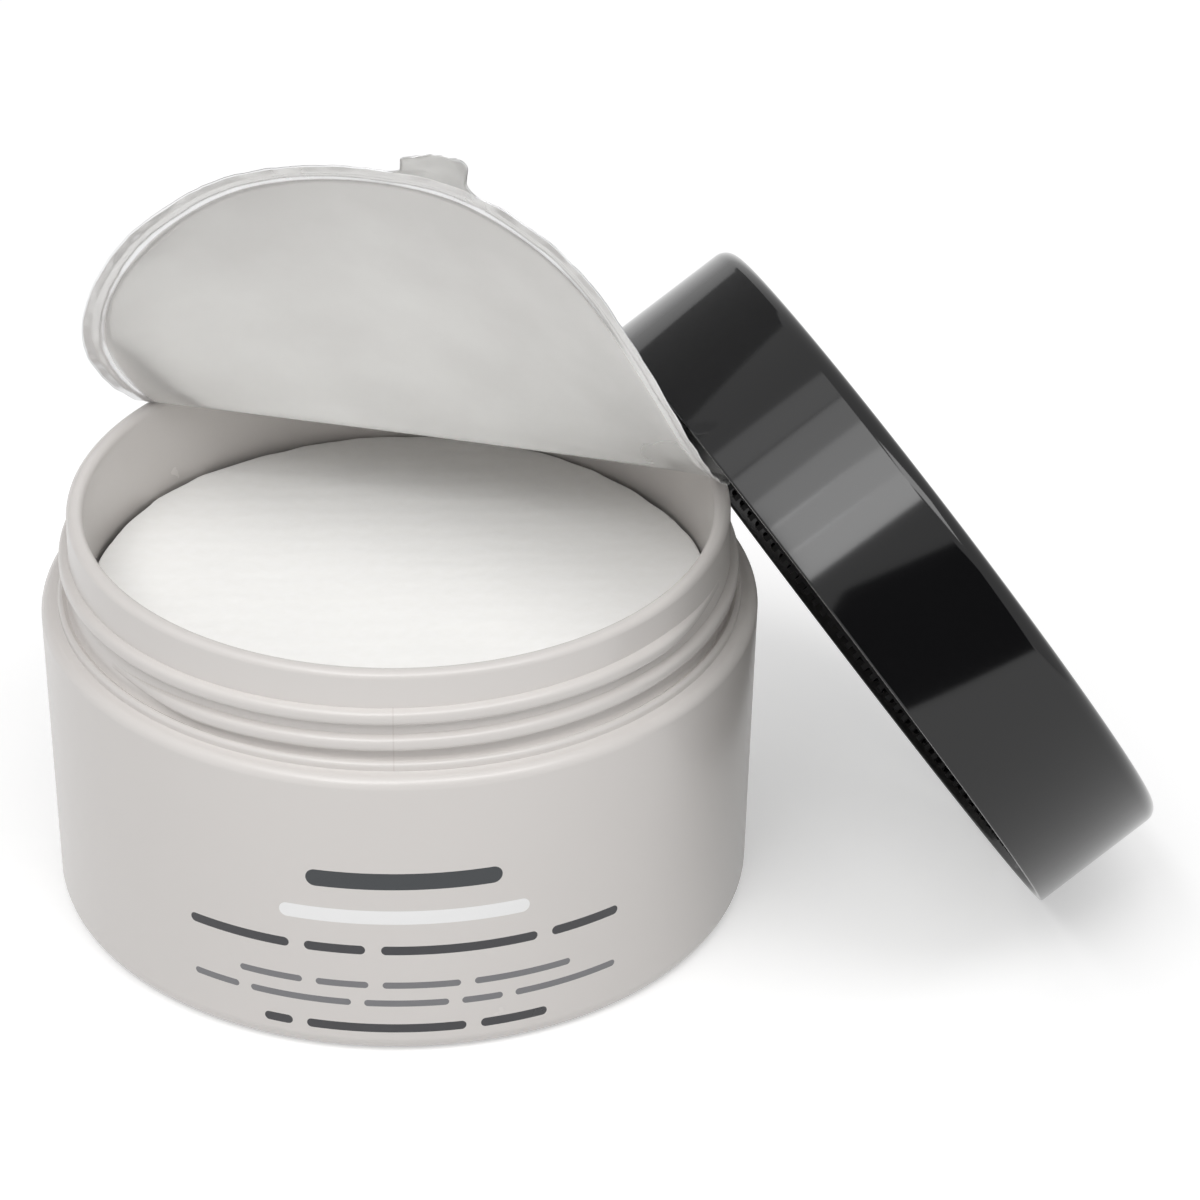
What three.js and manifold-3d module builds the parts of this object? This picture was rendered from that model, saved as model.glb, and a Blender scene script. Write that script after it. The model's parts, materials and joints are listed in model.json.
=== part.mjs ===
// A screw-top jar of thirty round exfoliating wipes, opened: the foil seal is peeled back and
// stands up, and the black cap leans against the jar's right side.
// Millimetres, +Z up. The jar stands on the origin, +X points to the cap, -Y to the front.

import * as THREE from 'three';
import { mergeVertices } from 'three/addons/utils/BufferGeometryUtils.js';
import Module from 'manifold-3d';

const wasm = await Module();
wasm.setup();

// Jar moulding
const bodyRadius = 43;
const baseDraft = 1.1;
const footInset = 2.3;
const footWidth = 2.3;
const footRecess = 0.8;
const baseFillet = 2.3;
const shoulderHeight = 38.8;
const shoulderWidth = 3.4;
const shoulderDrop = 1.4;
const neckRise = 12.3;
const neckWall = 2;
const bodyWall = 2.25;
const floorThickness = 2.2;
const floorFillet = 1.7;
const rimFillet = 0.6;

// Ledge bead at the foot of the neck
const ledgeProud = 1.4;
const ledgeRise = 1.1;

// Screw thread, the same pitch on the neck and in the cap
const threadPitch = 3.5;
const threadCrest = 0.85;
const threadRootWidth = 1.9;
const threadCrestWidth = 0.6;
const threadStartAngle = 211.5;
const threadTurns = 1.3625;
const threadFirstRise = 2.7;
const threadTaperAngle = 24;
const threadSink = 0.25;

// Wipes
const wipeCount = 30;
const wipeThickness = 1.22;
const wipeClearance = 1.4;
const wipeWave = 0.35;

// Foil seal. The curl values bend the flap forwards, more so towards its two sides
const foilThickness = 0.2;
const foilOverhang = 0.05;
const foldSetback = 14.7;
const foldHeading = -106;
const foldAngle = 65.3;
const foldBend = 1.6;
const sideSkew = 0.224;
const sideCurl = 0.802;
const sideCurlCubic = 0.074;
const tipCurl = 0.017;
const tipSkew = 0.177;
const sideCurlFade = 0.53;
const sealRingWidth = 2.6;
const sealRingHeight = 0.22;
const tabAngle = 79.5;
const tabWidth = 10;
const tabLength = 5.5;
const tabBack = 1.4;

// Cap: outer shell, threaded insert and liner
const capInset = 0.4;
const capFillet = 1.9;
const capInnerFillet = 1.2;
const capWall = 1.05;
const capTop = 1.4;
const capRecess = 0.35;
const insertGap = 0.3;
const insertSkin = 0.55;
const insertSetback = 1.6;
const insertTop = 1.3;
const linerThickness = 1;
const linerGap = 0.3;
const threadClearance = 0.3;
const seatRingInset = 11;
const seatRingWidth = 1.6;
const seatRingDepth = 2.1;
const capLandGap = 0.3;
const capThreadStartAngle = 31.5;
const capThreadTurns = 1.2;

// How the cap leans: its axis, how far its mouth stands to the front, and its gap to what it meets
const capHeading = 19.5;
const capLift = 31.5;
const capMouthForward = -4.15;
const capContactGap = 0.3;

const roundSegments = 80;
const threadSegments = roundSegments;

const radians = THREE.MathUtils.degToRad;

// Sizes that follow from the ones above
const baseRadius = bodyRadius - baseDraft;
const footRadius = baseRadius - footInset;
const neckRadius = bodyRadius - shoulderWidth;
const neckInner = neckRadius - neckWall;
const neckHeight = shoulderHeight + neckRise;
const ledgeRadius = neckRadius + ledgeProud;
const ledgeTop = shoulderHeight + ledgeRise;
const wipeRadius = neckInner - wipeClearance;
const capRadius = bodyRadius - capInset;
const shellInner = capRadius - capWall;
const insertInner = neckRadius + threadCrest + threadClearance;
const insertOuter = Math.min(shellInner - insertGap, insertInner + insertSkin);
const linerSeat = neckRise - capLandGap;
const insertTopHeight = linerSeat + linerThickness + insertTop;
const capHeight = insertTopHeight + seatRingDepth + capTop;
const seatRingRadius = insertOuter - seatRingInset;

const jarPlastic = new THREE.MeshStandardMaterial({ color: 0xc6c1bd, roughness: 0.38, metalness: 0 });
const capPlastic = new THREE.MeshStandardMaterial({ color: 0x0b0b0c, roughness: 0.12, metalness: 0 });
const insertPlastic = new THREE.MeshStandardMaterial({ color: 0x151516, roughness: 0.45, metalness: 0 });
const linerFoam = new THREE.MeshStandardMaterial({ color: 0xe9e9e6, roughness: 0.7, metalness: 0 });
const sealFoil = new THREE.MeshStandardMaterial({ color: 0xd4d5d6, roughness: 0.3, metalness: 0.6 });
const wipeFibre = new THREE.MeshStandardMaterial({ color: 0xf2f1ee, roughness: 0.95, metalness: 0 });

// Manifold solids and back

function solidOf(geometry) {
  const plain = geometry.clone();
  plain.deleteAttribute('normal');
  plain.deleteAttribute('uv');
  const merged = mergeVertices(plain, 1e-4);
  return new wasm.Manifold(new wasm.Mesh({
    numProp: 3,
    vertProperties: new Float32Array(merged.attributes.position.array),
    triVerts: new Uint32Array(merged.index.array),
  }));
}

function geometryOf(solid) {
  const mesh = solid.getMesh();
  const geometry = new THREE.BufferGeometry();
  geometry.setAttribute('position', new THREE.BufferAttribute(mesh.vertProperties, 3));
  geometry.setIndex(new THREE.BufferAttribute(mesh.triVerts, 1));
  geometry.computeVertexNormals();
  return geometry;
}

// A quarter round from one direction to another, as points of a profile

function arcPoints(centreX, centreY, radius, fromAngle, toAngle, steps) {
  const points = [];
  for (let i = 0; i <= steps; i++) {
    const angle = radians(fromAngle + (toAngle - fromAngle) * i / steps);
    points.push([centreX + radius * Math.cos(angle), centreY + radius * Math.sin(angle)]);
  }
  return points;
}

// Turns a profile of [radius, height] points about the upright axis

function revolve(profile, segments = roundSegments) {
  const points = profile.map(([radius, height]) => new THREE.Vector2(radius, height));
  const geometry = new THREE.LatheGeometry(points, segments);
  geometry.rotateX(Math.PI / 2);
  return geometry;
}

// A helical bead whose ends taper into the wall. side is 1 on an outside wall, -1 on an inside one

function threadBead({ wallRadius, side, startAngle, turns, firstHeight }) {
  const steps = Math.round(turns * threadSegments);
  const halfRoot = threadRootWidth / 2;
  const halfCrest = threadCrestWidth / 2;
  const section = [
    [-threadSink, -halfRoot],
    [0, -halfRoot],
    [threadCrest, -halfCrest],
    [threadCrest, halfCrest],
    [0, halfRoot],
    [-threadSink, halfRoot],
  ];
  const sweep = steps * 360 / threadSegments;
  const positions = [];
  for (let i = 0; i <= steps; i++) {
    const turned = sweep * i / steps;
    const fromEnd = Math.min(turned, sweep - turned);
    const grow = THREE.MathUtils.smoothstep(fromEnd, 0, threadTaperAngle);
    const angle = radians(startAngle + turned);
    const height = firstHeight + threadPitch * turned / 360;
    for (const [out, up] of section) {
      const proud = out > 0 ? out * (0.02 + 0.98 * grow) : out;
      const radius = wallRadius + side * proud;
      const rise = up * (0.45 + 0.55 * grow);
      positions.push(radius * Math.cos(angle), radius * Math.sin(angle), height + rise);
    }
  }
  const count = section.length;
  const index = [];
  const face = (a, b, c) => (side > 0 ? index.push(a, b, c) : index.push(a, c, b));
  for (let i = 0; i < steps; i++) {
    for (let k = 0; k < count; k++) {
      const a = i * count + k;
      const b = i * count + (k + 1) % count;
      face(a, a + count, b);
      face(b, a + count, b + count);
    }
  }
  for (let k = 1; k < count - 1; k++) {
    face(0, k, k + 1);
    const last = steps * count;
    face(last, last + k + 1, last + k);
  }
  const geometry = new THREE.BufferGeometry();
  geometry.setAttribute('position', new THREE.Float32BufferAttribute(positions, 3));
  geometry.setIndex(index);
  return geometry;
}

// Jar: base with a foot ring, drafted wall, shoulder, ledge bead, threaded neck and rounded rim

function makeJar() {
  const innerBody = bodyRadius - bodyWall;
  const innerFloor = baseRadius - bodyWall - floorFillet;
  const innerShoulder = shoulderHeight - shoulderWidth;
  const footInner = footRadius - footWidth;
  const profile = [
    [0, footRecess],
    [footInner - footRecess, footRecess],
    [footInner, 0],
    [footRadius, 0],
    ...arcPoints(baseRadius - baseFillet, baseFillet, baseFillet, -84, 0, 4),
    ...arcPoints(bodyRadius - shoulderDrop, shoulderHeight - shoulderDrop, shoulderDrop, 0, 82, 3),
    [ledgeRadius - 0.05, shoulderHeight],
    ...arcPoints(ledgeRadius - 0.5, shoulderHeight + 0.6, 0.5, 0, 90, 2),
    [neckRadius, ledgeTop + 0.25],
    [neckRadius, neckHeight - rimFillet],
    ...arcPoints(neckRadius - rimFillet, neckHeight - rimFillet, rimFillet, 30, 90, 2),
    ...arcPoints(neckInner + rimFillet, neckHeight - rimFillet, rimFillet, 90, 180, 3),
    [neckInner, innerShoulder + 1.8],
    [innerBody, innerShoulder - 2.2],
    ...arcPoints(innerFloor, floorThickness + floorFillet, floorFillet, 0, -90, 3),
    [0, floorThickness],
  ];
  const body = solidOf(revolve(profile));
  const thread = solidOf(threadBead({
    wallRadius: neckRadius,
    side: 1,
    startAngle: threadStartAngle,
    turns: threadTurns,
    firstHeight: shoulderHeight + threadFirstRise,
  }));
  return geometryOf(body.add(thread));
}

// One wipe: a round pad with a softly uneven edge

function makeWipe(number, bottom) {
  const sides = 24;
  const ring = [];
  for (let i = 0; i < sides; i++) {
    const angle = 2 * Math.PI * i / sides;
    const wave = Math.sin(5 * angle + 1.7 * number) + Math.sin(9 * angle + 2.9 * number);
    const radius = wipeRadius - wipeWave + wipeWave * wave / 2;
    ring.push([radius * Math.cos(angle), radius * Math.sin(angle)]);
  }
  const shape = new THREE.Shape(ring.map(([x, y]) => new THREE.Vector2(x, y)));
  const geometry = new THREE.ExtrudeGeometry(shape, { depth: wipeThickness, bevelEnabled: false });
  geometry.translate(0, 0, bottom);
  return geometry;
}

// The peeled foil as a surface. across runs along the fold, ahead runs from the fold over the mouth

const foldForward = new THREE.Vector3(Math.cos(radians(foldHeading)), Math.sin(radians(foldHeading)), 0);
const foldAlong = new THREE.Vector3(-foldForward.y, foldForward.x, 0);
const flapRise = foldForward.clone().multiplyScalar(Math.cos(radians(foldAngle)))
  .add(new THREE.Vector3(0, 0, Math.sin(radians(foldAngle))));
const flapFront = foldForward.clone().multiplyScalar(Math.sin(radians(foldAngle)))
  .add(new THREE.Vector3(0, 0, -Math.cos(radians(foldAngle))));

function foilPoint(across, ahead) {
  let peeled = Math.max(0, ahead);
  if (Math.abs(ahead) < foldBend) {
    peeled = (ahead + foldBend) ** 2 / (4 * foldBend);
  }
  const s = across / bodyRadius;
  const p = peeled / bodyRadius;
  const curl = sideSkew * s + sideCurl * s ** 2 + sideCurlCubic * s ** 3
    + tipCurl * p - tipSkew * s * p - sideCurlFade * s ** 2 * p;
  return foldForward.clone().multiplyScalar(-foldSetback)
    .addScaledVector(foldAlong, across)
    .addScaledVector(foldForward, ahead - peeled)
    .addScaledVector(flapRise, peeled)
    .addScaledVector(flapFront, peeled * curl)
    .add(new THREE.Vector3(0, 0, neckHeight));
}

// Gives a sheet of points and faces a thickness along its own normals and closes its edge

function thicken(points, faces, thickness) {
  const lower = new THREE.BufferGeometry();
  lower.setAttribute('position', new THREE.Float32BufferAttribute(points.flatMap((p) => p.toArray()), 3));
  lower.setIndex(faces);
  lower.computeVertexNormals();
  const normal = lower.attributes.normal;
  const count = points.length;
  const positions = points.flatMap((p) => p.toArray());
  points.forEach((p, i) => {
    const up = new THREE.Vector3().fromBufferAttribute(normal, i);
    positions.push(...p.clone().addScaledVector(up, thickness).toArray());
  });
  const index = [];
  const edges = new Map();
  for (let i = 0; i < faces.length; i += 3) {
    const [a, b, c] = [faces[i], faces[i + 1], faces[i + 2]];
    index.push(a, c, b, a + count, b + count, c + count);
    for (const [from, to] of [[a, b], [b, c], [c, a]]) {
      edges.set(`${from} ${to}`, [from, to]);
    }
  }
  for (const [from, to] of edges.values()) {
    if (!edges.has(`${to} ${from}`)) {
      index.push(from, to, to + count, from, to + count, from + count);
    }
  }
  const geometry = new THREE.BufferGeometry();
  geometry.setAttribute('position', new THREE.Float32BufferAttribute(positions, 3));
  geometry.setIndex(index);
  return geometry;
}

// Foil: rows across the disc inside the seal ring, then the embossed ring, then the tab

function makeFoil() {
  const outer = neckRadius + foilOverhang;
  const inner = outer - sealRingWidth;
  const rows = foilRowAngles(inner);
  const columns = 14;
  const points = [];
  const faces = [];
  const add = (across, ahead, lift = 0) => {
    const p = foilPoint(across, ahead);
    p.addScaledVector(foilNormal(across, ahead), lift);
    points.push(p);
    return points.length - 1;
  };
  const triangle = (a, b, c) => {
    if (a !== b && b !== c && a !== c) {
      faces.push(a, c, b);
    }
  };

  const grid = rows.map((angle) => {
    const ahead = foldSetback + inner * Math.sin(angle);
    const half = inner * Math.cos(angle);
    if (half < 1e-6) {
      return new Array(columns + 1).fill(add(0, ahead));
    }
    const row = [];
    for (let c = 0; c <= columns; c++) {
      row.push(add(-half * Math.cos(Math.PI * c / columns), ahead));
    }
    return row;
  });
  for (let r = 0; r < rows.length - 1; r++) {
    for (let c = 0; c < columns; c++) {
      triangle(grid[r][c], grid[r][c + 1], grid[r + 1][c + 1]);
      triangle(grid[r][c], grid[r + 1][c + 1], grid[r + 1][c]);
    }
  }

  // The rim of the grid, once round against the clock, then the rings outside it
  const loop = [];
  rows.forEach((angle, r) => loop.push({ angle, id: grid[r][columns] }));
  for (let r = rows.length - 2; r > 0; r--) {
    loop.push({ angle: Math.PI - rows[r], id: grid[r][0] });
  }
  const steps = [
    [inner + sealRingWidth * 0.3, sealRingHeight],
    [inner + sealRingWidth * 0.7, sealRingHeight],
    [outer, 0],
  ];
  let ring = loop;
  for (const [radius, height] of steps) {
    const next = loop.map(({ angle }) => {
      const ahead = foldSetback + radius * Math.sin(angle);
      const lift = ahead > foldBend ? height : 0;
      return { angle, id: add(radius * Math.cos(angle), ahead, lift) };
    });
    next.forEach((item, i) => {
      const j = (i + 1) % next.length;
      triangle(ring[i].id, item.id, next[j].id);
      triangle(ring[i].id, next[j].id, ring[j].id);
    });
    ring = next;
  }

  // The pull tab grows from the part of the edge that faces its angle
  const tabCentre = radians(tabAngle);
  const reach = Math.asin(tabWidth / 2 / outer);
  let edge = ring.filter(({ angle }) => Math.abs(angle - tabCentre) < reach + 1e-9);
  for (const grow of [0.5, 1]) {
    const next = edge.map(({ angle }) => {
      const aside = outer * Math.sin(angle - tabCentre);
      const out = outer * Math.cos(angle - tabCentre);
      const corner = grow === 1 ? 0.25 * (aside / (tabWidth / 2)) ** 4 * tabLength : 0;
      const along = out + (outer + tabLength - out) * grow - corner;
      const across = along * Math.cos(tabCentre) - aside * Math.sin(tabCentre);
      const ahead = foldSetback + along * Math.sin(tabCentre) + aside * Math.cos(tabCentre);
      return { angle, id: add(across, ahead, tabBack * grow * grow) };
    });
    for (let i = 0; i < next.length - 1; i++) {
      triangle(edge[i].id, next[i].id, next[i + 1].id);
      triangle(edge[i].id, next[i + 1].id, edge[i + 1].id);
    }
    edge = next;
  }
  return thicken(points, faces, foilThickness);
}

// Row angles round the disc, closer together at the fold and on both sides of the tab

function foilRowAngles(radius) {
  const foldAt = (ahead) => Math.asin((ahead - foldSetback) / radius);
  const reach = Math.asin(tabWidth / 2 / (neckRadius + foilOverhang));
  const tabCentre = radians(tabAngle);
  const stops = [
    [-Math.PI / 2, 4],
    [foldAt(-foldBend), 2],
    [foldAt(0), 2],
    [foldAt(foldBend), 12],
    [tabCentre - reach, 1],
    [tabCentre, 1],
    [tabCentre + reach, 1],
    [Math.PI / 2, 0],
  ];
  const angles = [stops[0][0]];
  for (let i = 0; i < stops.length - 1; i++) {
    const [from, count] = stops[i];
    const to = stops[i + 1][0];
    for (let k = 1; k <= count; k++) {
      angles.push(THREE.MathUtils.lerp(from, to, k / count));
    }
  }
  return angles;
}

function foilNormal(across, ahead) {
  const step = 0.05;
  const alongSlope = foilPoint(across + step, ahead).sub(foilPoint(across - step, ahead));
  const aheadSlope = foilPoint(across, ahead + step).sub(foilPoint(across, ahead - step));
  return aheadSlope.cross(alongSlope).normalize();
}

// Cap parts are drawn mouth down at the origin and then leaned into place

function makeCapShell() {
  const topInside = capHeight - capTop;
  const profile = [
    [0, topInside],
    [seatRingRadius, topInside],
    [seatRingRadius, insertTopHeight],
    [seatRingRadius + seatRingWidth, insertTopHeight],
    [seatRingRadius + seatRingWidth, topInside],
    ...arcPoints(shellInner - capInnerFillet, topInside - capInnerFillet, capInnerFillet, 90, 0, 2),
    [shellInner, capRecess],
    [shellInner + 0.25, 0],
    [capRadius - 0.15, 0],
    [capRadius, capRecess],
    ...arcPoints(capRadius - capFillet, capHeight - capFillet, capFillet, 0, 90, 5),
    [0, capHeight],
  ];
  return geometryOf(solidOf(revolve(profile)));
}

function makeCapInsert() {
  const top = insertTopHeight;
  const profile = [
    [0, linerSeat + linerThickness],
    [insertInner, linerSeat + linerThickness],
    [insertInner, insertSetback],
    [insertOuter, insertSetback],
    [insertOuter, top - 0.8],
    [insertOuter - 1, top],
    [0, top],
  ];
  const cup = solidOf(revolve(profile));
  const thread = solidOf(threadBead({
    wallRadius: insertInner,
    side: -1,
    startAngle: capThreadStartAngle,
    turns: capThreadTurns,
    firstHeight: insertSetback + threadRootWidth / 2 + 0.6,
  }));
  return geometryOf(cup.add(thread));
}

function makeCapLiner() {
  const radius = insertInner - linerGap;
  const profile = [
    [0, linerSeat],
    [radius, linerSeat],
    [radius, linerSeat + linerThickness],
    [0, linerSeat + linerThickness],
  ];
  return geometryOf(solidOf(revolve(profile)));
}

function capAxis() {
  const lift = radians(capLift);
  const heading = radians(capHeading);
  return new THREE.Vector3(
    Math.cos(lift) * Math.cos(heading),
    Math.cos(lift) * Math.sin(heading),
    Math.sin(lift),
  );
}

// Tips a cap part over so that the mouth's lowest edge meets the surface the jar stands on

function tipCap(geometry) {
  const turn = new THREE.Quaternion().setFromUnitVectors(new THREE.Vector3(0, 0, 1), capAxis());
  const mouthHeight = (capRadius - 0.15) * Math.cos(radians(capLift));
  geometry.applyQuaternion(turn);
  geometry.translate(0, capMouthForward, mouthHeight);
  return geometry;
}

// Slides the tipped shell towards the jar until only the contact gap is left

function findCapPlace(shell, neighbours) {
  const reach = 2;
  const gapAt = (across) => {
    const moved = shell.translate([across, 0, 0]);
    return Math.min(...neighbours.map((other) => moved.minGap(other, reach)));
  };
  let near = bodyRadius;
  let far = bodyRadius + 2 * capRadius;
  for (let i = 0; i < 12; i++) {
    const middle = (near + far) / 2;
    if (gapAt(middle) > capContactGap) {
      far = middle;
    } else {
      near = middle;
    }
  }
  return far;
}

const pack = new THREE.Group();
pack.name = 'exfoliating_wipes_pack';

function addPiece(name, geometry, material) {
  const mesh = new THREE.Mesh(geometry, material);
  mesh.name = name;
  pack.add(mesh);
}

const jar = makeJar();
const foil = makeFoil();
const capShell = tipCap(makeCapShell());
const capAcross = findCapPlace(solidOf(capShell), [solidOf(jar), solidOf(foil)]);

addPiece('jar', jar, jarPlastic);
for (let number = 1; number <= wipeCount; number++) {
  const bottom = floorThickness + (number - 1) * wipeThickness;
  addPiece(`wipe_${String(number).padStart(2, '0')}`, makeWipe(number, bottom), wipeFibre);
}
addPiece('foil_seal', foil, sealFoil);
addPiece('cap_shell', capShell.translate(capAcross, 0, 0), capPlastic);
addPiece('cap_insert', tipCap(makeCapInsert()).translate(capAcross, 0, 0), insertPlastic);
addPiece('cap_liner', tipCap(makeCapLiner()).translate(capAcross, 0, 0), linerFoam);

console.log(`cap mouth centre at ${capAcross.toFixed(2)}`);

export default pack;
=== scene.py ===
import bpy, bmesh, json, math
from mathutils import Matrix, Vector, noise

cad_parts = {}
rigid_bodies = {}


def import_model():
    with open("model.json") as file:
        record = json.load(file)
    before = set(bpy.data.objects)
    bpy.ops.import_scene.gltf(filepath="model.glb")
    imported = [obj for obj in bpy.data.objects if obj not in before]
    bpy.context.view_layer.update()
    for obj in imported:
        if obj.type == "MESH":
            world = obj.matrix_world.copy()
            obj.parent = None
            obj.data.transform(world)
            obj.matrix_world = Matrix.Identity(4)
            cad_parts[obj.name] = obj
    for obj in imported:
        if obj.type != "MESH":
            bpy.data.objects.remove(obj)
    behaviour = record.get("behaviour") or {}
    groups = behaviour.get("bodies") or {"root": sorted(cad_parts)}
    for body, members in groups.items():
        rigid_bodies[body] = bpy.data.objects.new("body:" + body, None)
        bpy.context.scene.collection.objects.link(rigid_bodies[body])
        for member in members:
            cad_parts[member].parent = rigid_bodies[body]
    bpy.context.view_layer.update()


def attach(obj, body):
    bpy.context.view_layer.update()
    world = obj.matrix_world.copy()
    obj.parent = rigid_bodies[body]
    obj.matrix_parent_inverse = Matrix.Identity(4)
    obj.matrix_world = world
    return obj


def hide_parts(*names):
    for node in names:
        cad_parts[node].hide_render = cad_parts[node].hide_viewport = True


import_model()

mm = 0.001
stage = bpy.context.scene
stage.view_settings.view_transform = "Standard"


def arcPoints(centreR, centreZ, radius, fromDeg, toDeg, steps):
    points = []
    for i in range(steps + 1):
        angle = math.radians(fromDeg + (toDeg - fromDeg) * i / steps)
        points.append((centreR + radius * math.cos(angle), centreZ + radius * math.sin(angle)))
    return points


def spinProfile(bm, profile, steps):
    verts = [bm.verts.new((r * mm, 0, z * mm)) for r, z in profile]
    edges = [bm.edges.new((verts[i], verts[i + 1])) for i in range(len(verts) - 1)]
    bmesh.ops.spin(bm, geom=verts + edges, cent=(0, 0, 0), axis=(0, 0, 1), angle=math.tau,
                   steps=steps, use_merge=True, use_normal_flip=False, use_duplicate=False)
    bmesh.ops.remove_doubles(bm, verts=bm.verts, dist=1e-6)
    bmesh.ops.recalc_face_normals(bm, faces=bm.faces)


def finishPiece(bm, name, materials, nodes, sharpDeg=40):
    for face in bm.faces:
        face.smooth = True
    for edge in bm.edges:
        if len(edge.link_faces) == 2 and edge.calc_face_angle(0) > math.radians(sharpDeg):
            edge.smooth = False
    mesh = bpy.data.meshes.new(name)
    bm.to_mesh(mesh)
    bm.free()
    for material in materials:
        mesh.materials.append(material)
    piece = bpy.data.objects.new(name, mesh)
    stage.collection.objects.link(piece)
    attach(piece, "root")
    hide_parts(*nodes)
    return piece


def startMaterial(name, colour, roughness, metallic=0.0):
    material = bpy.data.materials.new(name)
    material.use_nodes = True
    tree = material.node_tree
    shader = tree.nodes["Principled BSDF"]
    shader.inputs["Base Color"].default_value = (*colour, 1)
    shader.inputs["Roughness"].default_value = roughness
    shader.inputs["Metallic"].default_value = metallic
    coords = tree.nodes.new("ShaderNodeTexCoord")
    return material, tree, shader, coords


def addNoise(tree, coords, scale, detail):
    texture = tree.nodes.new("ShaderNodeTexNoise")
    texture.inputs["Scale"].default_value = scale
    texture.inputs["Detail"].default_value = detail
    tree.links.new(coords.outputs["Object"], texture.inputs["Vector"])
    return texture.outputs["Fac"]


def addRamp(tree, factor, stops):
    ramp = tree.nodes.new("ShaderNodeValToRGB")
    elements = ramp.color_ramp.elements
    while len(elements) < len(stops):
        elements.new(0.5)
    for element, (place, colour) in zip(elements, stops):
        element.position = place
        element.color = (*colour, 1)
    tree.links.new(factor, ramp.inputs["Fac"])
    return ramp.outputs["Color"]


def addRange(tree, factor, low, high):
    mapRange = tree.nodes.new("ShaderNodeMapRange")
    mapRange.inputs["To Min"].default_value = low
    mapRange.inputs["To Max"].default_value = high
    tree.links.new(factor, mapRange.inputs["Value"])
    return mapRange.outputs["Result"]


def addBump(tree, shader, height, strength, distance):
    bump = tree.nodes.new("ShaderNodeBump")
    bump.inputs["Strength"].default_value = strength
    bump.inputs["Distance"].default_value = distance
    tree.links.new(height, bump.inputs["Height"])
    tree.links.new(bump.outputs["Normal"], shader.inputs["Normal"])


def makePlainPlastic(name, colour, shade, roughness, spread, bumpStrength):
    material, tree, shader, coords = startMaterial(name, colour, roughness)
    mottle = addNoise(tree, coords, 60, 4)
    tree.links.new(addRamp(tree, mottle, [(0.3, tuple(c * shade for c in colour)), (0.7, colour)]),
                   shader.inputs["Base Color"])
    tree.links.new(addRange(tree, addNoise(tree, coords, 140, 5), roughness - spread, roughness + spread),
                   shader.inputs["Roughness"])
    addBump(tree, shader, addNoise(tree, coords, 900, 3), bumpStrength, 0.0002)
    return material


# Camera, at the photograph's angle
cameraView = {"ahead": -685.55, "height": 450.4, "pitch": 31.09, "yaw": 2.01, "roll": -0.21, "lens": 199.6}


def makeCamera(view):
    data = bpy.data.cameras.new("photoCamera")
    data.sensor_width = 36
    data.lens = view["lens"]
    data.clip_start = 0.01
    camera = bpy.data.objects.new("photoCamera", data)
    stage.collection.objects.link(camera)
    turn = (Matrix.Rotation(-math.radians(view["yaw"]), 4, "Z")
            @ Matrix.Rotation(math.radians(90 - view["pitch"]), 4, "X")
            @ Matrix.Rotation(-math.radians(view["roll"]), 4, "Z"))
    camera.matrix_world = Matrix.Translation((0, view["ahead"] * mm, view["height"] * mm)) @ turn
    stage.camera = camera


makeCamera(cameraView)
print("camera placed")

# Jar
jarSize = {"bodyRadius": 43, "baseRadius": 41.9, "footRadius": 39.6, "footRecess": 0.8, "recessRadius": 36.5,
           "baseFillet": 2.3, "shoulderHeight": 38.8, "shoulderDrop": 1.4, "shoulderWall": 3.4,
           "neckHeight": 51.1, "neckRadius": 39.6, "neckWall": 2, "neckFlare": 0.35, "bodyWall": 2.25,
           "floor": 2.2, "rimFillet": 0.8, "ledgeRadius": 41, "ledgeTop": 39.9, "ledgeBead": 0.55,
           "ledgeGap": 0.25, "ledgeStep": 0.1, "neckFootOut": 0.1, "neckFootUp": 0.3, "slopeAbove": 1.8,
           "slopeBelow": 2.2, "bowlFillet": 1.7, "inkDepth": 2, "steps": 240}
threadSize = {"pitch": 3.5, "crest": 1.1, "root": 2.05, "startDeg": 211.5, "turns": 1.3625,
              "firstHeight": 41.5, "taperDeg": 24, "endCrest": 0.02, "endWidth": 0.45, "sunk": 0.25,
              "stepsPerTurn": 160, "crestSteps": 8}


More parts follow.
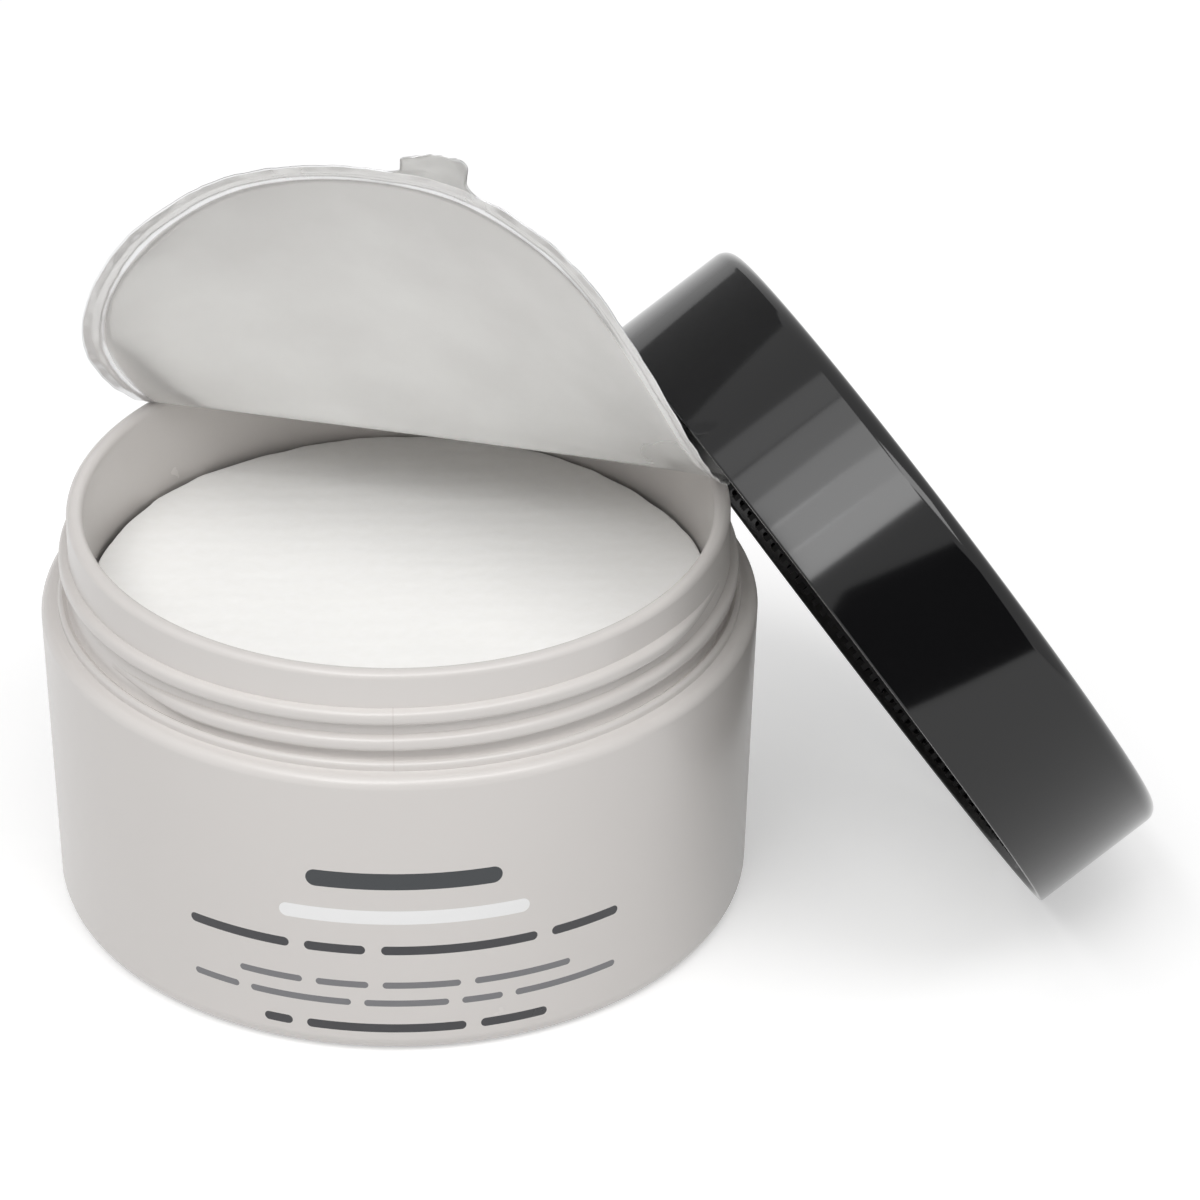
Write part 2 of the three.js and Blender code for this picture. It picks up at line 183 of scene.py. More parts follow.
def addThread(target, size, wallRadius, side, startDeg, turns, firstHeight):
    bm = bmesh.new()
    stepsPerTurn = size["stepsPerTurn"]
    steps = round(turns * stepsPerTurn)
    half = size["root"] / 2
    section = [(-size["sunk"], -half), (0, -half)]
    for k in range(1 - size["crestSteps"], size["crestSteps"]):
        part = k / size["crestSteps"]
        section.append(((1 - abs(part) ** 3) ** 0.5, part * half))
    section += [(0, half), (-size["sunk"], half)]
    count = len(section)
    turn = Matrix.Rotation(math.radians(startDeg), 4, "Z")
    verts = []
    for out, up in section:
        radius = wallRadius + side * (out * size["crest"] if out > 0 else out)
        verts.append(bm.verts.new(turn @ Vector((radius * mm, 0, (firstHeight + up) * mm))))
    edges = [bm.edges.new((verts[i], verts[(i + 1) % count])) for i in range(count)]
    bm.faces.new(verts)
    rise = size["pitch"] * mm / stepsPerTurn
    bmesh.ops.spin(bm, geom=edges + verts, cent=(0, 0, 0), axis=(0, 0, 1), dvec=(0, 0, rise),
                   angle=math.tau * steps / stepsPerTurn, steps=steps)
    bm.verts.ensure_lookup_table()
    made = list(bm.verts)
    bm.faces.new(made[-count:])
    for k, vert in enumerate(made):
        step = k // count
        turned = step * 360 / stepsPerTurn
        fromEnd = min(turned, steps * 360 / stepsPerTurn - turned) / size["taperDeg"]
        grow = min(1, max(0, fromEnd))
        grow = grow * grow * (3 - 2 * grow)  # both ends sink softly into the wall
        radius = math.hypot(vert.co.x, vert.co.y) / mm
        proud = side * (radius - wallRadius)
        if proud > 0:
            wanted = wallRadius + side * proud * (size["endCrest"] + (1 - size["endCrest"]) * grow)
            vert.co.x *= wanted / radius
            vert.co.y *= wanted / radius
        middle = (firstHeight + size["pitch"] * turned / 360) * mm
        vert.co.z = middle + (vert.co.z - middle) * (size["endWidth"] + (1 - size["endWidth"]) * grow)
    bmesh.ops.recalc_face_normals(bm, faces=bm.faces)
    bead = bpy.data.meshes.new("threadShape")
    bm.to_mesh(bead)
    bm.free()
    target.from_mesh(bead)
    bpy.data.meshes.remove(bead)


def makeJar(size, thread):
    innerNeck = size["neckRadius"] - size["neckWall"]
    innerBody = size["bodyRadius"] - size["bodyWall"]
    innerShoulder = size["shoulderHeight"] - size["shoulderWall"]
    rim = size["rimFillet"]
    drop = size["shoulderDrop"]
    foot = size["baseFillet"]
    bead = size["ledgeBead"]
    flare = size["neckFlare"]
    bowl = size["bowlFillet"]
    profile = [(0, size["footRecess"]), (size["recessRadius"], size["footRecess"]),
               (size["recessRadius"] + size["footRecess"], 0), (size["footRadius"], 0)]
    profile += arcPoints(size["baseRadius"] - foot, foot, foot, -84, 0, 12)
    profile += arcPoints(size["bodyRadius"] - drop, size["shoulderHeight"] - drop, drop, 0, 82, 10)
    profile += [(size["ledgeRadius"] + size["ledgeGap"], size["shoulderHeight"]),
                (size["ledgeRadius"], size["shoulderHeight"] + size["ledgeStep"])]
    profile += arcPoints(size["ledgeRadius"] - bead, size["shoulderHeight"] + bead, bead, 0, 90, 7)
    profile += [(size["neckRadius"] + flare, size["ledgeTop"] - flare),
                (size["neckRadius"] + size["neckFootOut"], size["ledgeTop"]),
                (size["neckRadius"], size["ledgeTop"] + size["neckFootUp"])]
    profile += arcPoints(size["neckRadius"] - rim, size["neckHeight"] - rim, rim, 0, 90, 8)
    profile += arcPoints(innerNeck + rim, size["neckHeight"] - rim, rim, 90, 180, 8)
    profile += [(innerNeck, innerShoulder + size["slopeAbove"]),
                (innerBody, innerShoulder - size["slopeBelow"])]
    profile += arcPoints(size["baseRadius"] - size["bodyWall"] - bowl, size["floor"] + bowl, bowl, 0, -90, 8)
    profile += [(0, size["floor"])]
    bm = bmesh.new()
    spinProfile(bm, profile, size["steps"])
    addThread(bm, thread, size["neckRadius"], 1, thread["startDeg"], thread["turns"], thread["firstHeight"])
    return bm


# Plain printed blocks on the front, row by row:
# height, half height, colour, the blocks' lengths and the gap between them
printRows = {"title": (24.7, 1.15, (0.045, 0.05, 0.055), (23.4,), 0),
             "underTitle": (19.6, 0.95, (0.93, 0.93, 0.93), (30.2,), 0),
             "upper": (14.9, 0.62, (0.045, 0.045, 0.05), (13.2, 7.4, 19.0, 9.2), 1.9),
             "middle": (9.9, 0.45, (0.2, 0.2, 0.21), (8.0, 6.4, 9.4, 12.2), 1.7),
             "lower": (7.3, 0.45, (0.2, 0.2, 0.21), (6.2, 12.6, 10.2, 5.0, 13.6), 1.6),
             "foot": (3.7, 0.6, (0.045, 0.045, 0.05), (3.6, 19.4, 8.4), 1.8)}
# Fine mould parting line up the neck, front and back
partingLine = {"aside": 1.0, "halfWidth": 0.09, "middle": 42.8, "reach": 3.9, "colour": (0.665, 0.63, 0.605)}


def addMath(tree, operation, first, second=None):
    node = tree.nodes.new("ShaderNodeMath")
    node.operation = operation
    for socket, value in zip(node.inputs, (first, second)):
        if isinstance(value, (int, float)):
            socket.default_value = value
        elif value is not None:
            tree.links.new(value, socket)
    return node.outputs[0]


def addMix(tree, factor, under, over):
    mix = tree.nodes.new("ShaderNodeMix")
    mix.data_type = "RGBA"
    tree.links.new(factor, mix.inputs["Factor"])
    tree.links.new(under, mix.inputs[6])
    mix.inputs[7].default_value = (*over, 1)
    return mix.outputs[2]


def makeJarPlastic(rows, line, radius, inkDepth):
    material = makePlainPlastic("warmGreyPlastic", (0.72, 0.69, 0.668), shade=0.992, roughness=0.27,
                                spread=0.008, bumpStrength=0.008)
    tree = material.node_tree
    shader = tree.nodes["Principled BSDF"]
    coords = [node for node in tree.nodes if node.type == "TEX_COORD"][0]
    split = tree.nodes.new("ShaderNodeSeparateXYZ")
    tree.links.new(coords.outputs["Object"], split.inputs[0])
    x, y, z = split.outputs
    turned = addMath(tree, "ARCTAN2", x, addMath(tree, "MULTIPLY", y, -1.0))
    around = addMath(tree, "MULTIPLY", turned, radius * mm)
    squares = addMath(tree, "ADD", addMath(tree, "MULTIPLY", x, x), addMath(tree, "MULTIPLY", y, y))
    outside = addMath(tree, "GREATER_THAN", squares, ((radius - inkDepth) * mm) ** 2)
    colour = shader.inputs["Base Color"].links[0].from_socket
    for height, halfHeight, ink, lengths, gap in rows.values():
        up = addMath(tree, "ABSOLUTE", addMath(tree, "SUBTRACT", z, height * mm))
        start = -(sum(lengths) + gap * (len(lengths) - 1)) / 2
        beside = None
        for length in lengths:
            away = addMath(tree, "ABSOLUTE", addMath(tree, "SUBTRACT", around, (start + length / 2) * mm))
            past = addMath(tree, "SUBTRACT", away, (length / 2 - halfHeight) * mm)
            beside = past if beside is None else addMath(tree, "MINIMUM", beside, past)
            start += length + gap
        beside = addMath(tree, "MAXIMUM", beside, 0.0)
        beside = addMath(tree, "MULTIPLY", beside, beside)
        far = addMath(tree, "ADD", beside, addMath(tree, "MULTIPLY", up, up))
        inked = addMath(tree, "MULTIPLY", addMath(tree, "LESS_THAN", far, (halfHeight * mm) ** 2), outside)
        colour = addMix(tree, inked, colour, ink)
    beside = addMath(tree, "ABSOLUTE", addMath(tree, "ADD", x, line["aside"] * mm))
    along = addMath(tree, "ABSOLUTE", addMath(tree, "SUBTRACT", z, line["middle"] * mm))
    parted = addMath(tree, "MULTIPLY", addMath(tree, "LESS_THAN", beside, line["halfWidth"] * mm),
                     addMath(tree, "LESS_THAN", along, line["reach"] * mm))
    tree.links.new(addMix(tree, parted, colour, line["colour"]), shader.inputs["Base Color"])
    return material


jarPlastic = makeJarPlastic(printRows, partingLine, jarSize["bodyRadius"], jarSize["inkDepth"])
finishPiece(makeJar(jarSize, threadSize), "jarMoulding", [jarPlastic], ["jar"])
print("jar made")

# Foil seal
foilSize = {"radius": 39.65, "thickness": 0.12, "foldSetback": 14.7, "foldHeading": -106, "foldAngle": 65.3,
            "foldBend": 1.6, "sideSkew": 0.224, "sideCurl": 0.802, "sideCurlCubic": 0.074, "tipCurl": 0.017,
            "tipSkew": 0.177, "sideCurlFade": 0.53, "ringWidth": 2.6, "ringHeight": 0.16,
            "tabAngle": 79.5, "tabWidth": 7.8, "tabLength": 5.5, "tabBack": -0.6, "tabTwist": -0.17,
            "tabReach": 7.5, "tabCorner": 1.6, "tabFlare": 1.1, "flareEnd": 0.3,
            "softWave": 0.3, "edgeWave": 0.2, "tabWave": 0.25, "smoothCrease": 0.003, "edgeCrease": 0.07,
            "tabCrease": 0.02, "softScale": 0.09, "edgeScale": 0.45, "tabScale": 0.4, "creaseScale": 0.9,
            "flapFade": 3, "rimGap": 0.005, "turnSteps": 360, "floorSteps": 46, "ringSteps": 10,
            "tabSteps": 10, "cornerSteps": 8}
foldForward = Vector((math.cos(math.radians(foilSize["foldHeading"])),
                      math.sin(math.radians(foilSize["foldHeading"])), 0))
foldAlong = Vector((-foldForward.y, foldForward.x, 0))
leanAngle = math.radians(foilSize["foldAngle"])
flapRise = foldForward * math.cos(leanAngle) + Vector((0, 0, math.sin(leanAngle)))
flapFront = foldForward * math.sin(leanAngle) - Vector((0, 0, math.cos(leanAngle)))


def foilPoint(across, ahead):
    bend = foilSize["foldBend"]
    peeled = max(0, ahead)
    if abs(ahead) < bend:
        peeled = (ahead + bend) ** 2 / (4 * bend)
    s = across / jarSize["bodyRadius"]
    p = peeled / jarSize["bodyRadius"]
    curl = (foilSize["sideSkew"] * s + foilSize["sideCurl"] * s ** 2 + foilSize["sideCurlCubic"] * s ** 3
            + foilSize["tipCurl"] * p - foilSize["tipSkew"] * s * p - foilSize["sideCurlFade"] * s ** 2 * p)
    place = foldForward * (ahead - peeled - foilSize["foldSetback"]) + foldAlong * across
    place += flapRise * peeled + flapFront * (peeled * curl)
    return place + Vector((0, 0, jarSize["neckHeight"]))


def foilNormal(across, ahead):
    step = 0.05
    alongSlope = foilPoint(across + step, ahead) - foilPoint(across - step, ahead)
    aheadSlope = foilPoint(across, ahead + step) - foilPoint(across, ahead - step)
    return aheadSlope.cross(alongSlope).normalized()


def tabPlace(size, plan, grow):
    turned = math.degrees(math.atan2(plan.y, plan.x)) - size["tabAngle"]
    corner = size["tabCorner"] / size["tabLength"]
    half = size["tabWidth"] / 2 + size["tabFlare"] * max(0, 1 - grow / size["flareEnd"]) ** 2
    if grow > 1 - corner:
        half -= size["tabCorner"] * (1 - math.sqrt(max(0, 1 - ((grow - 1 + corner) / corner) ** 2)))
    aside = turned / size["tabReach"] * half
    out = math.sqrt(size["radius"] ** 2 - aside ** 2) + grow * size["tabLength"]
    tabTurn = math.radians(size["tabAngle"])
    across = out * math.cos(tabTurn) - aside * math.sin(tabTurn)
    return across, out * math.sin(tabTurn) + aside * math.cos(tabTurn) + size["foldSetback"]


def waveAt(plan, seed, scale):
    return noise.noise(Vector((plan.x, plan.y, seed)) * scale)


def foilRadii(size):
    ringInner = size["radius"] - size["ringWidth"]
    straight = size["tabLength"] - size["tabCorner"]
    radii = [ringInner * k / size["floorSteps"] for k in range(size["floorSteps"] + 1)]
    radii += [ringInner + size["ringWidth"] * k / size["ringSteps"] for k in range(1, size["ringSteps"] + 1)]
    radii += [size["radius"] + straight * k / size["tabSteps"] for k in range(1, size["tabSteps"] + 1)]
    for k in range(1, size["cornerSteps"] + 1):
        corner = size["tabCorner"] * math.sin(math.pi / 2 * k / size["cornerSteps"])
        radii.append(size["radius"] + straight + corner)
    return radii


def makeFoil(size):
    bm = bmesh.new()
    ringInner = size["radius"] - size["ringWidth"]
    spinProfile(bm, [(r, 0) for r in foilRadii(size)], size["turnSteps"])
    # only the tab is kept of what lies outside the edge
    outside = []
    for face in bm.faces:
        centre = face.calc_center_median() / mm
        turned = math.degrees(math.atan2(centre.y, centre.x)) - size["tabAngle"]
        if centre.length > size["radius"] and abs(turned) > size["tabReach"]:
            outside.append(face)
    bmesh.ops.delete(bm, geom=outside, context="FACES")
    for face in bm.faces:
        centre = face.calc_center_median() / mm
        face.material_index = 1 if centre.length > ringInner + 0.1 else 0  # middle or ring
        if centre.length > size["radius"]:
            face.material_index = 2  # tab
    for vert in bm.verts:
        plan = vert.co / mm
        across, ahead = plan.x, plan.y + size["foldSetback"]
        far = plan.length
        lift = 0
        flap = min(1, max(0, (ahead - size["foldBend"]) / size["flapFade"]))
        along = (far - ringInner) / size["ringWidth"]
        if 0 < along < 0.5:
            lift += size["ringHeight"] * math.sin(math.tau * along)
        creased = min(1, max(0, along))
        onTab = far > size["radius"] + 0.01
        crease = size["tabCrease"] if onTab else size["edgeCrease"]
        lift += size["softWave"] * waveAt(plan, 3, size["softScale"])
        lift += (size["smoothCrease"] + crease * creased) * waveAt(plan, 8, size["creaseScale"])
        lift += size["edgeWave"] * creased * waveAt(plan, 21, size["edgeScale"])
        if onTab:
            grow = (far - size["radius"]) / size["tabLength"]
            turned = math.degrees(math.atan2(plan.y, plan.x)) - size["tabAngle"]
            aside = turned / size["tabReach"] * size["tabWidth"] / 2
            lift += (size["tabBack"] + size["tabTwist"] * aside) * grow
            lift += size["tabWave"] * grow * waveAt(plan, 2, size["tabScale"])
            across, ahead = tabPlace(size, plan, grow)
        lift = lift * flap + size["rimGap"]
        vert.co = (foilPoint(across, ahead) + foilNormal(across, ahead) * lift) * mm
    bmesh.ops.recalc_face_normals(bm, faces=bm.faces)
    rimTop = (jarSize["neckHeight"] + 0.02) * mm
    onRim = [face for face in bm.faces if face.calc_center_median().z < rimTop]
    if sum(face.normal.z for face in onRim) < 0:
        bmesh.ops.reverse_faces(bm, faces=bm.faces)
    return bm


def makeFoilMaterial(name, colour, dull, roughness, metallic, crumple, paintedReflection=0, reflectionFrom=75):
    material, tree, shader, coords = startMaterial(name, colour, roughness, metallic)
    cloudAndReflection = addNoise(tree, coords, 45, 4)
    if paintedReflection:
        # painted reflection: a little paler towards the fold, standing in for the white wipes mirrored in
        # the coating
        split = tree.nodes.new("ShaderNodeSeparateXYZ")
        tree.links.new(coords.outputs["Object"], split.inputs[0])
        below = addMath(tree, "SUBTRACT", reflectionFrom * mm, split.outputs[2])
        cloudAndReflection = addMath(tree, "ADD", cloudAndReflection, addMath(tree, "MULTIPLY", below, paintedReflection))
    tree.links.new(addRamp(tree, cloudAndReflection, [(0.3, dull), (0.75, colour)]), shader.inputs["Base Color"])
    tree.links.new(addRange(tree, addNoise(tree, coords, 120, 4), roughness - 0.01, roughness + 0.01),
                   shader.inputs["Roughness"])
    addBump(tree, shader, addNoise(tree, coords, 70, 1), crumple, 0.0008)
    return material


# the coated inner side carries a painted reflection of the wipes, paler towards the fold
foilInside = makeFoilMaterial("coatedFoil", (0.82, 0.818, 0.81), dull=(0.695, 0.688, 0.68),
                              roughness=0.21, metallic=0.6, crumple=0.05, paintedReflection=10)
foilSilver = makeFoilMaterial("bareFoil", (0.86, 0.86, 0.865), dull=(0.76, 0.76, 0.765),
                              roughness=0.27, metallic=1.0, crumple=0.2)
foilCrumpled = makeFoilMaterial("crumpledFoil", (0.8, 0.8, 0.795), dull=(0.45, 0.45, 0.445),
                                roughness=0.32, metallic=0.9, crumple=0.6)
# outer side first, then the same three areas of the inner side
foil = finishPiece(makeFoil(foilSize), "peeledFoil",
                   [foilSilver, foilSilver, foilCrumpled, foilInside, foilSilver, foilCrumpled],
                   ["foil_seal"])
wall = foil.modifiers.new("thickness", "SOLIDIFY")
wall.thickness = foilSize["thickness"] * mm
wall.offset = 1
wall.material_offset = 3
wall.material_offset_rim = 3
print("foil made")

# Wipes
wipeSize = {"radius": 37.3, "thickness": 1.22, "count": 30, "bottom": 2.2, "edge": 0.45, "wave": 0.35,
            "waveFrom": 0.8, "lobes": [(5, 51, 1), (9, 87, 1), (31, 0, 0.45)], "lobeSum": 2.6,
            "roughEdge": 1.1, "roughScale": 0.45, "sag": 0.12, "sagScale": 0.12,
            "rings": 23, "ringStep": 1.5, "firstRing": 0.6, "steps": 240}


def makeWipeMaterial():
    material, tree, shader, coords = startMaterial("wipeFibre", (0.9, 0.89, 0.865), 0.95)
    shader.inputs["Sheen Weight"].default_value = 0.25
    fibres = addNoise(tree, coords, 700, 6)
    tree.links.new(addRamp(tree, fibres, [(0.3, (0.95, 0.945, 0.925)), (0.7, (0.98, 0.975, 0.96))]),
                   shader.inputs["Base Color"])
    tree.links.new(addRange(tree, fibres, 0.85, 1.0), shader.inputs["Roughness"])
    ribs = tree.nodes.new("ShaderNodeTexWave")
    ribs.inputs["Scale"].default_value = 95
    ribs.inputs["Distortion"].default_value = 2.5
    ribs.inputs["Detail"].default_value = 2
    ribs.inputs["Detail Scale"].default_value = 2
    ribs.bands_direction = "Y"
    tree.links.new(coords.outputs["Object"], ribs.inputs["Vector"])
    soft = addNoise(tree, coords, 160, 4)
    relief = addMath(tree, "ADD", ribs.outputs["Fac"], addMath(tree, "MULTIPLY", soft, 0.5))
    addBump(tree, shader, relief, 0.07, 0.0004)
    return material


def makeTopWipe(size):
    top = size["bottom"] + size["count"] * size["thickness"]
    low = top - size["thickness"]
    r = size["radius"] - size["wave"]
    half = size["thickness"] / 2
    profile = [(0, low), (r * 0.5, low), (r - size["edge"], low)]
    profile += arcPoints(r - size["edge"], low + half, half, -70, 70, 6)
    topEdge = r - size["edge"] - size["firstRing"]
    profile += [(topEdge - size["ringStep"] * k, top) for k in range(size["rings"])]
    profile += [(0, top)]
    bm = bmesh.new()
    spinProfile(bm, profile, size["steps"])
    for vert in bm.verts:
        plan = vert.co / mm
        far = math.hypot(plan.x, plan.y)
        angle = math.atan2(plan.y, plan.x)
        if far > r * size["waveFrom"]:
            wave = sum(share * math.sin(count * angle + start) for count, start, share in size["lobes"])
            wave += size["roughEdge"] * waveAt(plan, 4, size["roughScale"])
            wanted = far + (far / r) ** 6 * size["wave"] * wave / size["lobeSum"]
            vert.co.x *= wanted / far
            vert.co.y *= wanted / far
        if plan.z > top - 0.05:
            vert.co.z -= size["sag"] * (1 + waveAt(plan, 0, size["sagScale"])) * mm
    return bm


wipeFibre = makeWipeMaterial()
topWipe = finishPiece(makeTopWipe(wipeSize), "topWipe", [wipeFibre], ["wipe_30"], 60)
print("wipes made")

# Cap
capSize = {"radius": 42.6, "height": 17.8, "fillet": 1.9, "innerFillet": 1.2, "wall": 1.05, "top": 1.4,
           "recess": 0.35, "mouthBevel": 0.25, "heading": 19.5, "lift": 31.5, "across": 50.95,
           "forward": -4.15, "standIn": 0.15, "insertGap": 0.3, "insertSkin": 0.55, "insertSetback": 1.6,
           "insertTop": 1.3, "insertBevel": 0.8, "liner": 1, "threadRoom": 0.85, "threadClearance": 0.3,
           "threadStart": 31.5, "threadTurns": 1.2, "threadAboveMouth": 0.6, "seatInset": 11,
           "seatWidth": 1.6, "landGap": 0.3, "teeth": 150, "tooth": (0.45, 0.7, 0.8), "toothInset": 0.25,
           "toothDrop": 0.3, "seatGap": 0.1, "lipIn": 0.2, "lipUp": 0.05, "lipOut": 0.35, "topRing": 12,
           "bevelIn": 1, "shellSteps": 300, "insertSteps": 240}


def capPlace(size):
    lift = math.radians(size["lift"])
    heading = math.radians(size["heading"])
    axis = Vector((math.cos(lift) * math.cos(heading), math.cos(lift) * math.sin(heading), math.sin(lift)))
    turn = Vector((0, 0, 1)).rotation_difference(axis).to_matrix().to_4x4()
    middleHeight = (size["radius"] - size["standIn"]) * math.cos(lift)
    mouth = Vector((size["across"], size["forward"], middleHeight)) * mm
    return Matrix.Translation(mouth) @ turn


def linerSeat(size):
    return jarSize["neckHeight"] - jarSize["shoulderHeight"] - size["landGap"]


def makeCapShell(size):
    inner = size["radius"] - size["wall"]
    topInside = size["height"] - size["top"]
    seat = linerSeat(size) + size["liner"] + size["insertTop"]
    seatRadius = inner - size["insertGap"] - size["seatInset"] + size["seatGap"]
    profile = [(0, topInside), (seatRadius, topInside), (seatRadius, seat),
               (seatRadius + size["seatWidth"], seat), (seatRadius + size["seatWidth"], topInside)]
    bend = size["innerFillet"]
    profile += arcPoints(inner - bend, topInside - bend, bend, 90, 0, 6)
    profile += [(inner, size["recess"]), (inner + size["lipIn"], size["lipUp"]), (inner + size["lipOut"], 0)]
    bevel = size["mouthBevel"]
    profile += arcPoints(size["radius"] - bevel, bevel, bevel, -90, 0, 4)
    edge = size["fillet"]
    profile += arcPoints(size["radius"] - edge, size["height"] - edge, edge, 0, 90, 12)
    profile += [(size["radius"] - edge - size["topRing"], size["height"]), (0, size["height"])]
    bm = bmesh.new()
    spinProfile(bm, profile, size["shellSteps"])
    bmesh.ops.transform(bm, matrix=capPlace(size), verts=bm.verts)
    return bm


def makeCapInsert(size, thread):
    seat = linerSeat(size)
    top = seat + size["liner"] + size["insertTop"]
    inner = jarSize["neckRadius"] + size["threadRoom"] + size["threadClearance"]
    outer = inner + size["insertSkin"]
    profile = [(0, seat + size["liner"]), (inner, seat + size["liner"]), (inner, size["insertSetback"]),
               (outer, size["insertSetback"]), (outer, top - size["insertBevel"]),
               (outer - size["bevelIn"], top), (0, top)]
    bm = bmesh.new()
    spinProfile(bm, profile, size["insertSteps"])
    addThread(bm, thread, inner, -1, size["threadStart"], size["threadTurns"],
               size["insertSetback"] + thread["root"] / 2 + size["threadAboveMouth"])
    for k in range(size["teeth"]):
        spot = (Matrix.Rotation(math.tau * k / size["teeth"], 4, "Z")
                @ Matrix.Translation(((outer - size["toothInset"]) * mm, 0,
                                      (size["insertSetback"] - size["toothDrop"]) * mm))
                @ Matrix.Diagonal((*(side * mm for side in size["tooth"]), 1)))
        bmesh.ops.create_cube(bm, size=1, matrix=spot)
    bmesh.ops.recalc_face_normals(bm, faces=bm.faces)
    bmesh.ops.transform(bm, matrix=capPlace(size), verts=bm.verts)
    return bm


capGloss = makePlainPlastic("polishedBlack", (0.0045, 0.0045, 0.005), shade=0.9, roughness=0.09,
                            spread=0.01, bumpStrength=0.003)
insertBlack = makePlainPlastic("plainBlack", (0.004, 0.004, 0.0045), shade=0.9, roughness=0.62,
                               spread=0.03, bumpStrength=0.02)
linerWhite = makePlainPlastic("whiteFoam", (0.8, 0.8, 0.78), shade=0.95, roughness=0.7,
                              spread=0.05, bumpStrength=0.1)
finishPiece(makeCapShell(capSize), "capShell", [capGloss], ["cap_shell"], 50)
finishPiece(makeCapInsert(capSize, threadSize), "capInsert", [insertBlack], ["cap_insert"])
print("cap made")

# The hidden wipes and the liner keep their CAD meshes
carriedOver = {"wipe_": wipeFibre, "cap_liner": linerWhite}
for piece in stage.collection.all_objects:
    for prefix, material in carriedOver.items():
        if piece.type == "MESH" and piece.name.startswith(prefix):
            piece.data.materials.clear()
            piece.data.materials.append(material)


# Floor, lights and world
stageSize = {"floor": 6, "floorColour": (0.72, 0.72, 0.72), "cameraLift": 0.42, "world": 0.53,
             "middle": (0.06, -0.02, 0.05)}


def addShown(tree):
    paths = tree.nodes.new("ShaderNodeLightPath")
    both = addMath(tree, "MAXIMUM", paths.outputs["Is Glossy Ray"], paths.outputs["Is Transmission Ray"])
    return addMath(tree, "MAXIMUM", paths.outputs["Is Camera Ray"], both)


def makeFloor(size):
    bm = bmesh.new()
    bmesh.ops.create_grid(bm, x_segments=1, y_segments=1, size=size["floor"] / 2)
    mesh = bpy.data.meshes.new("floor")
    bm.to_mesh(mesh)
    bm.free()
    floor = bpy.data.objects.new("floor", mesh)
    stage.collection.objects.link(floor)
    material, tree, shader, coords = startMaterial("paleFloor", size["floorColour"], 0.8)
    glow = addMath(tree, "MULTIPLY", addShown(tree), size["cameraLift"])
    shader.inputs["Emission Color"].default_value = (1, 1, 1, 1)
    tree.links.new(glow, shader.inputs["Emission Strength"])
    tree.links.new(addRange(tree, addNoise(tree, coords, 30, 3), 0.75, 0.85), shader.inputs["Roughness"])
    mesh.materials.append(material)


def makeWorld(size):
    world = bpy.data.worlds.new("softStudio")
    stage.world = world
    world.use_nodes = True
    tree = world.node_tree
    tree.nodes.clear()
    output = tree.nodes.new("ShaderNodeOutputWorld")
    plain = tree.nodes.new("ShaderNodeBackground")
    plain.inputs["Strength"].default_value = size["world"]
    white = tree.nodes.new("ShaderNodeBackground")
    white.inputs["Strength"].default_value = 1
    mix = tree.nodes.new("ShaderNodeMixShader")
    tree.links.new(addShown(tree), mix.inputs[0])
    tree.links.new(plain.outputs[0], mix.inputs[1])
    tree.links.new(white.outputs[0], mix.inputs[2])
    tree.links.new(mix.outputs[0], output.inputs["Surface"])


def makeAreaLight(name, place, target, width, height, power, along):
    data = bpy.data.lights.new(name, "AREA")
    data.shape = "RECTANGLE"
    data.size = width
    data.size_y = height
    data.energy = power
    light = bpy.data.objects.new(name, data)
    stage.collection.objects.link(light)
    outward = (place - target).normalized()
    across = (along - outward * along.dot(outward)).normalized()
    turn = Matrix((across, outward.cross(across), outward)).transposed().to_4x4()
    light.matrix_world = Matrix.Translation(place) @ turn


def aroundObject(azimuth, height, away):
    turn, up = math.radians(azimuth), math.radians(height)
    outward = Vector((math.cos(up) * math.cos(turn), math.cos(up) * math.sin(turn), math.sin(up)))
    return Vector(stageSize["middle"]) + away * outward


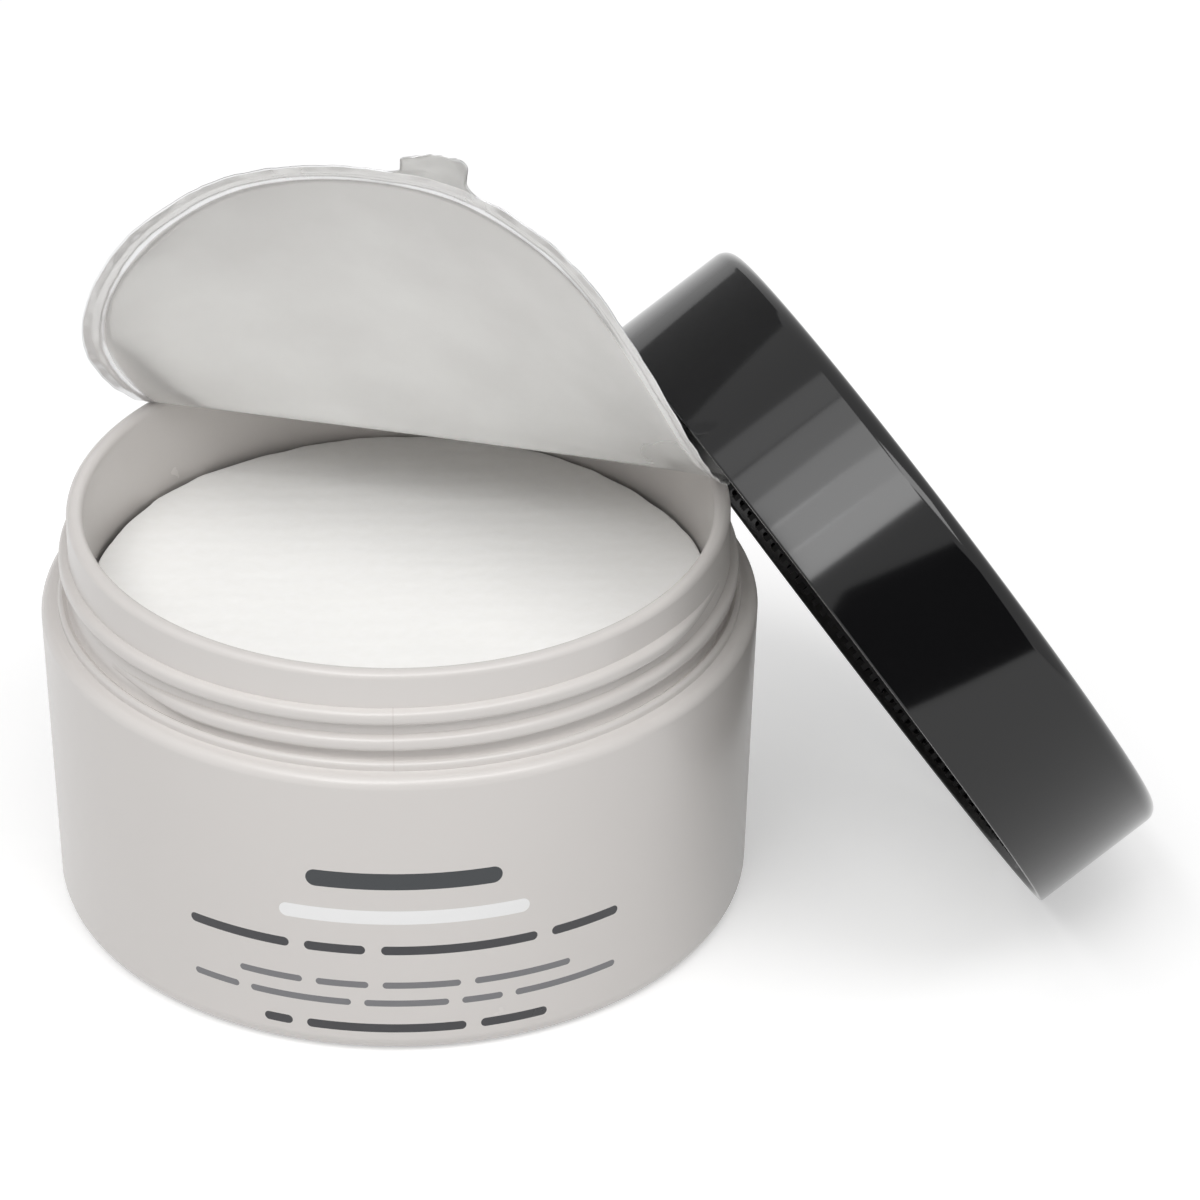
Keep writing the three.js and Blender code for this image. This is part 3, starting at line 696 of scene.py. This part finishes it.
def makeCard(name, size):
    bm = bmesh.new()
    bmesh.ops.create_grid(bm, x_segments=1, y_segments=1, size=0.5)
    tall = size["high"] - size["low"]
    place = aroundObject(size["azimuth"], 0, size["away"])
    place.z = size["low"] + tall / 2
    bmesh.ops.transform(bm, verts=bm.verts, matrix=(
        Matrix.Translation(place) @ Matrix.Rotation(math.radians(size["azimuth"] + 90), 4, "Z")
        @ Matrix.Rotation(math.pi / 2, 4, "X") @ Matrix.Diagonal((size["width"], tall, 1, 1))))
    mesh = bpy.data.meshes.new(name)
    bm.to_mesh(mesh)
    bm.free()
    card = bpy.data.objects.new(name, mesh)
    stage.collection.objects.link(card)
    # seen in gloss alone, as a studio flag beside the lights
    card.visible_camera = False
    card.visible_diffuse = False
    card.visible_shadow = False
    mesh.materials.append(makePlainPlastic(name + "Paper", (size["grey"],) * 3, shade=0.9, roughness=0.9,
                                           spread=0.05, bumpStrength=0.02))


makeFloor(stageSize)
makeWorld(stageSize)
# A curved softbox of five panels, brightest at its near end: azimuth, height in degrees and glow
panels = [(-108, 45, 5.2), (-120, 52, 4.6), (-136, 57, 3.2), (-156, 59, 1.8), (-178, 58, 0.9)]
panelSize = {"away": 1.6, "width": 0.3, "height": 0.6}
middle = aroundObject(0, 0, 0)
spots = [aroundObject(turn, up, panelSize["away"]) for turn, up, glow in panels]
for k, (turn, up, glow) in enumerate(panels):
    along = spots[min(k + 1, len(spots) - 1)] - spots[max(k - 1, 0)]
    power = glow * math.pi * panelSize["width"] * panelSize["height"]
    makeAreaLight("softboxPanel%d" % (k + 1), spots[k], middle, panelSize["width"], panelSize["height"],
                  power, along)
# A broad softbox in front
frontBox = {"azimuth": -62, "up": 60, "away": 1.6, "width": 1.1, "height": 0.6, "power": 8.5}
makeAreaLight("frontSoftbox", aroundObject(frontBox["azimuth"], frontBox["up"], frontBox["away"]), middle,
              frontBox["width"], frontBox["height"], frontBox["power"], Vector((1, 0, 0)))
flags = {"frontFlag": {"azimuth": -80, "away": 0.5, "width": 0.42, "low": 0.0, "high": 0.36, "grey": 0.05},
         "backFlag": {"azimuth": 128, "away": 0.8, "width": 0.85, "low": 0.19, "high": 0.85, "grey": 0.35}}
for name, flag in flags.items():
    makeCard(name, flag)
print("stage made")
